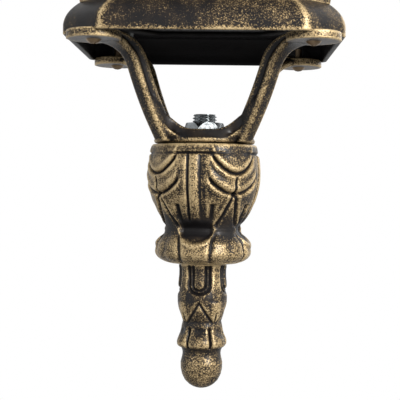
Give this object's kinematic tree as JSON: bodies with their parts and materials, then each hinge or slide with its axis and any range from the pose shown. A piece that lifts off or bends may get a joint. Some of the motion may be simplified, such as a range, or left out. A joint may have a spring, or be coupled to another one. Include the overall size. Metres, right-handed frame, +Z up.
{
  "type": "outdoor wall light",
  "caption": "Cast wall lantern in black and gold patina: arm over the roof, tapered glazed cage, flared foot, four-legged yoke with a carved cup and drop finial.",
  "frame": {"origin": "middle of the wall plate's back, on the wall plane, halfway between the two fixing holes", "axes": "+Z up, +Y into the wall, so the light stands out towards -Y, and +X to the right of someone facing the wall"},
  "size_m": [0.176, 0.263, 0.4236],
  "materials": {
    "patina_cast": "black brown paint with gold rubbed over the raised edges",
    "black_paint": "matt black paint",
    "zinc_steel": "zinc-plated steel",
    "pane_glass": "clear pane",
    "black_rubber": "matt rubber",
    "cream_plastic": "moulded plastic",
    "brass_metal": "plain brass",
    "white_ceramic": "glazed steatite",
    "lamp_glass": "opal diffuser"
  },
  "bodies": {
    "root": {"foot": "patina_cast", "floor_plate": "black_paint", "yoke": "patina_cast", "yoke_screws": "patina_cast", "threaded_tube": "zinc_steel", "hub_nut": "zinc_steel", "finial_cup": "patina_cast", "finial_drop": "patina_cast", "cage": "patina_cast", "cage_screws": "zinc_steel", "glass_front": "pane_glass", "glass_right": "pane_glass", "glass_rear": "pane_glass", "glass_left": "pane_glass", "glass_clips": "zinc_steel", "roof": "patina_cast", "roof_screws": "zinc_steel", "roof_seal": "black_rubber", "roof_crown": "patina_cast", "hanging_tube": "zinc_steel", "roof_nut": "zinc_steel", "cap_nut": "patina_cast", "arm": "patina_cast", "arm_nut": "zinc_steel", "wall_plate": "patina_cast", "wall_seal": "black_rubber", "crossbar": "zinc_steel", "plate_studs": "zinc_steel", "plate_nuts": "patina_cast", "terminal_block": "cream_plastic", "terminal_screws": "brass_metal", "earth_screw": "brass_metal", "lampholder_cap": "zinc_steel", "lampholder_body": "white_ceramic", "lampholder_shell": "brass_metal", "lampholder_contact": "brass_metal", "lamp": "lamp_glass"}
  },
  "joints": []
}
